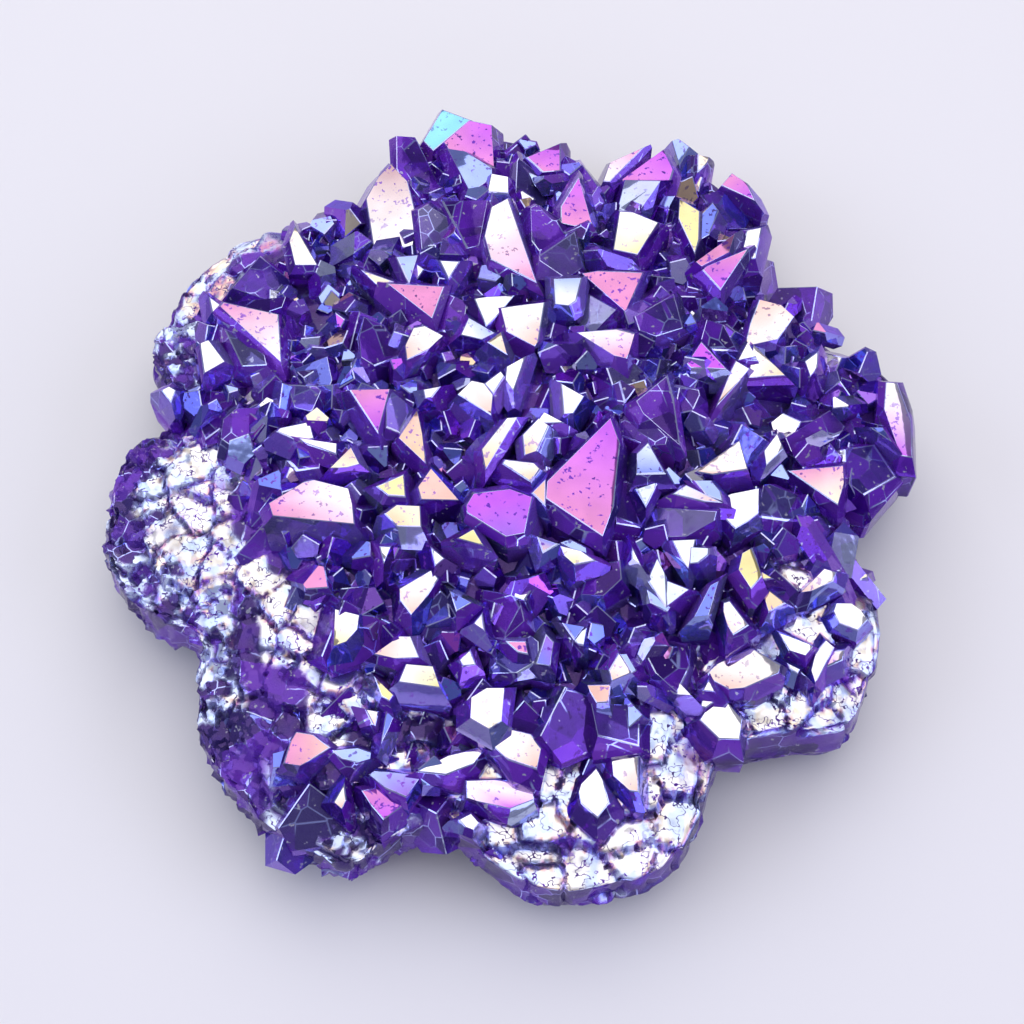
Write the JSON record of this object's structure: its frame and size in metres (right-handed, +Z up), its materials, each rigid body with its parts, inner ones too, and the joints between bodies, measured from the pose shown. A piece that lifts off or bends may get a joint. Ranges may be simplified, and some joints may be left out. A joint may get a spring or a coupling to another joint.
{
  "type": "angel aura amethyst flower",
  "caption": "Rounded amethyst specimen with petal-like lobes round its edge and its top covered in quartz points, flat underneath so that it rests on a shelf or table.",
  "frame": {"origin": "middle of the flat cut base, at the centre of the specimen's box", "axes": "+Z up out of the crystal face; the back petals, as seen in the usual front view, point along +Y and +X is to the right"},
  "size_m": [0.0726, 0.0776, 0.0183],
  "materials": {
    "amethyst": "clear deep violet quartz under a thin metallic aura coating that flashes white, gold, pink and blue"
  },
  "bodies": {
    "root": {"amethyst_flower": "amethyst"}
  },
  "joints": []
}
